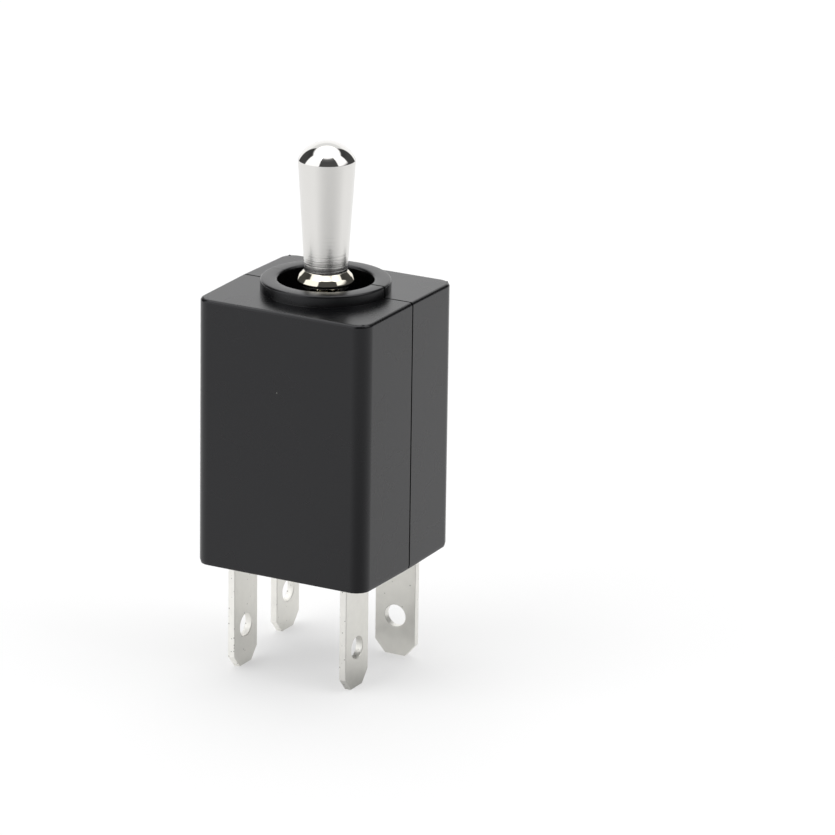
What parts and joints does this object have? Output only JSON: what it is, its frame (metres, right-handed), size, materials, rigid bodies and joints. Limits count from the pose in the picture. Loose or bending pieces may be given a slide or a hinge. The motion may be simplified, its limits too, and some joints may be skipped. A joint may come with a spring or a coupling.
{
  "type": "toggle switch",
  "caption": "Lever toggle switch in a black two-piece moulded case, with a round collar, an upright plated bat lever and flat blade terminals below.",
  "frame": {"origin": "on the axis of the collar and the upright lever, in the plane of the housing's top face", "axes": "+Z out along the upright lever, +X to the right across the lever's swing, +Y to the back, square to the parting plane"},
  "size_m": [0.02, 0.019, 0.0559],
  "materials": {
    "black_case": "fine satin moulded plastic",
    "base_moulding": "satin moulded plastic",
    "plated_lever": "bright nickel plate, polished dome and bead, satin turned shaft",
    "tinned_blade": "satin tin plate over brass strip",
    "steel_pin": "ground",
    "spring_wire": "drawn wire",
    "nylon": "natural moulded nylon",
    "spring_bronze": "rolled strip",
    "silver_contact": "satin silver"
  },
  "bodies": {
    "housing": {"front_shell": "black_case", "rear_shell": "black_case", "terminal_base": "base_moulding", "lever_pin": "steel_pin", "rocker_pin": "steel_pin", "fixed_contact_front_left": "silver_contact", "fixed_contact_back_left": "silver_contact", "fixed_contact_front_right": "silver_contact", "fixed_contact_back_right": "silver_contact", "blade_front_left": "tinned_blade", "blade_back_left": "tinned_blade", "blade_front_right": "tinned_blade", "blade_back_right": "tinned_blade"},
    "lever": {"bat_lever": "plated_lever", "plunger_spring": "spring_wire"},
    "plunger": {"plunger": "nylon"},
    "rocker": {"rocker": "nylon", "left_bridge": "spring_bronze", "right_bridge": "spring_bronze", "moving_contact_front_left": "silver_contact", "moving_contact_back_left": "silver_contact", "moving_contact_front_right": "silver_contact", "moving_contact_back_right": "silver_contact"}
  },
  "joints": [
    {"name": "lever_tilt", "type": "hinge", "parent": "housing", "child": "lever", "pos_m": [0, 0, -0.0064], "axis": [0, 1, 0], "range_deg": [-13, 13]},
    {"name": "plunger_slide", "type": "slide", "parent": "lever", "child": "plunger", "axis": [0, 0, 1], "range_m": [0, 0.0005], "stiffness_N_per_m": 400, "springref_m": -0.001, "deforming": ["plunger_spring"]},
    {"name": "rocker_tilt", "type": "hinge", "parent": "housing", "child": "rocker", "pos_m": [0, 0, -0.0176], "axis": [0, 1, 0], "range_deg": [-7, 7]}
  ],
  "couplings": [
    {"joint": "rocker_tilt", "follows": "lever_tilt", "ratio": -0.53846}
  ]
}
